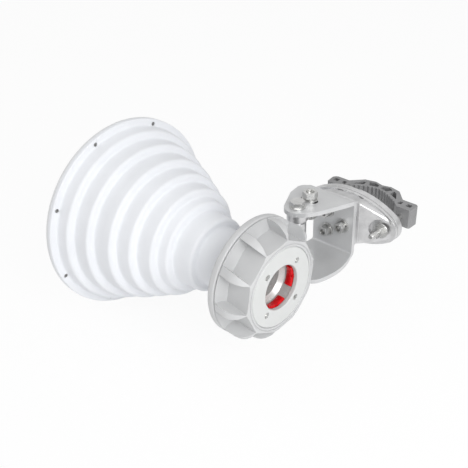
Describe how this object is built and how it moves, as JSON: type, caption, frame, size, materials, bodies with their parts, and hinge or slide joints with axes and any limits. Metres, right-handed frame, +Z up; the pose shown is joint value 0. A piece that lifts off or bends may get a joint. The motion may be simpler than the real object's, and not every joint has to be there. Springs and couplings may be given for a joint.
{
  "type": "horn antenna",
  "caption": "Stepped round horn antenna with a ribbed waveguide port, on a folded bracket that tilts and turns on a toothed pole clamp.",
  "frame": {"origin": "on the pole's axis, level with the horn's axis", "axes": "+Z up along the pole, +X from the pole to the horn's axis, +Y out of the waveguide port; the horn looks along -Y"},
  "size_m": [0.3045, 0.2435, 0.201],
  "materials": {
    "cast_aluminium": "bright blasted casting",
    "zinc": "zinc plated, satin",
    "spring_steel": "darker spring steel",
    "cast_iron": "dark rough casting",
    "bracket_steel": "grey satin coating",
    "port_aluminium": "warm light grey satin",
    "plate_aluminium": "light satin",
    "sleeve_aluminium": "turned, satin",
    "horn_paint": "matte white",
    "radome_plastic": "matte white",
    "dark_screw": "dark stainless",
    "seal_rubber": "matte",
    "tab_plastic": "glossy red"
  },
  "bodies": {
    "clamp": {"pole_casting": "cast_aluminium", "clamp_washers": "zinc", "clamp_nuts": "zinc"},
    "jaw": {"toothed_jaw": "cast_iron", "clamp_bolts": "zinc", "jaw_washers": "zinc"},
    "bracket": {"c_bracket": "bracket_steel", "tilt_bolts": "dark_screw", "tilt_washers": "zinc", "tilt_spring_washers": "spring_steel", "tilt_nuts": "zinc", "pivot_bolt": "zinc", "pivot_washers": "zinc", "pivot_nut": "zinc"},
    "horn": {"pivot_arm": "cast_aluminium", "arm_screws": "zinc", "azimuth_bolt": "zinc", "azimuth_washer": "zinc", "azimuth_spring_washer": "spring_steel", "azimuth_nut": "zinc", "horn_collar": "port_aluminium", "horn_shell": "horn_paint", "radome": "radome_plastic", "rim_screws": "dark_screw", "port_housing": "port_aluminium", "housing_seal": "seal_rubber", "face_plate": "plate_aluminium", "plate_screws": "zinc", "port_sleeve": "sleeve_aluminium", "latch_tabs": "tab_plastic"}
  },
  "joints": [
    {"name": "jaw_slide", "type": "slide", "parent": "clamp", "child": "jaw", "axis": [1, 0, 0], "range_m": [-0.008, 0.01]},
    {"name": "tilt", "type": "hinge", "parent": "clamp", "child": "bracket", "pos_m": [0.045, 0.0075, 0.0006], "axis": [1, 0, 0], "range_deg": [-15, 15]},
    {"name": "azimuth", "type": "hinge", "parent": "bracket", "child": "horn", "pos_m": [0.094, -0.015, 0], "axis": [0, 0, 1], "range_deg": [-15, 15]}
  ]
}
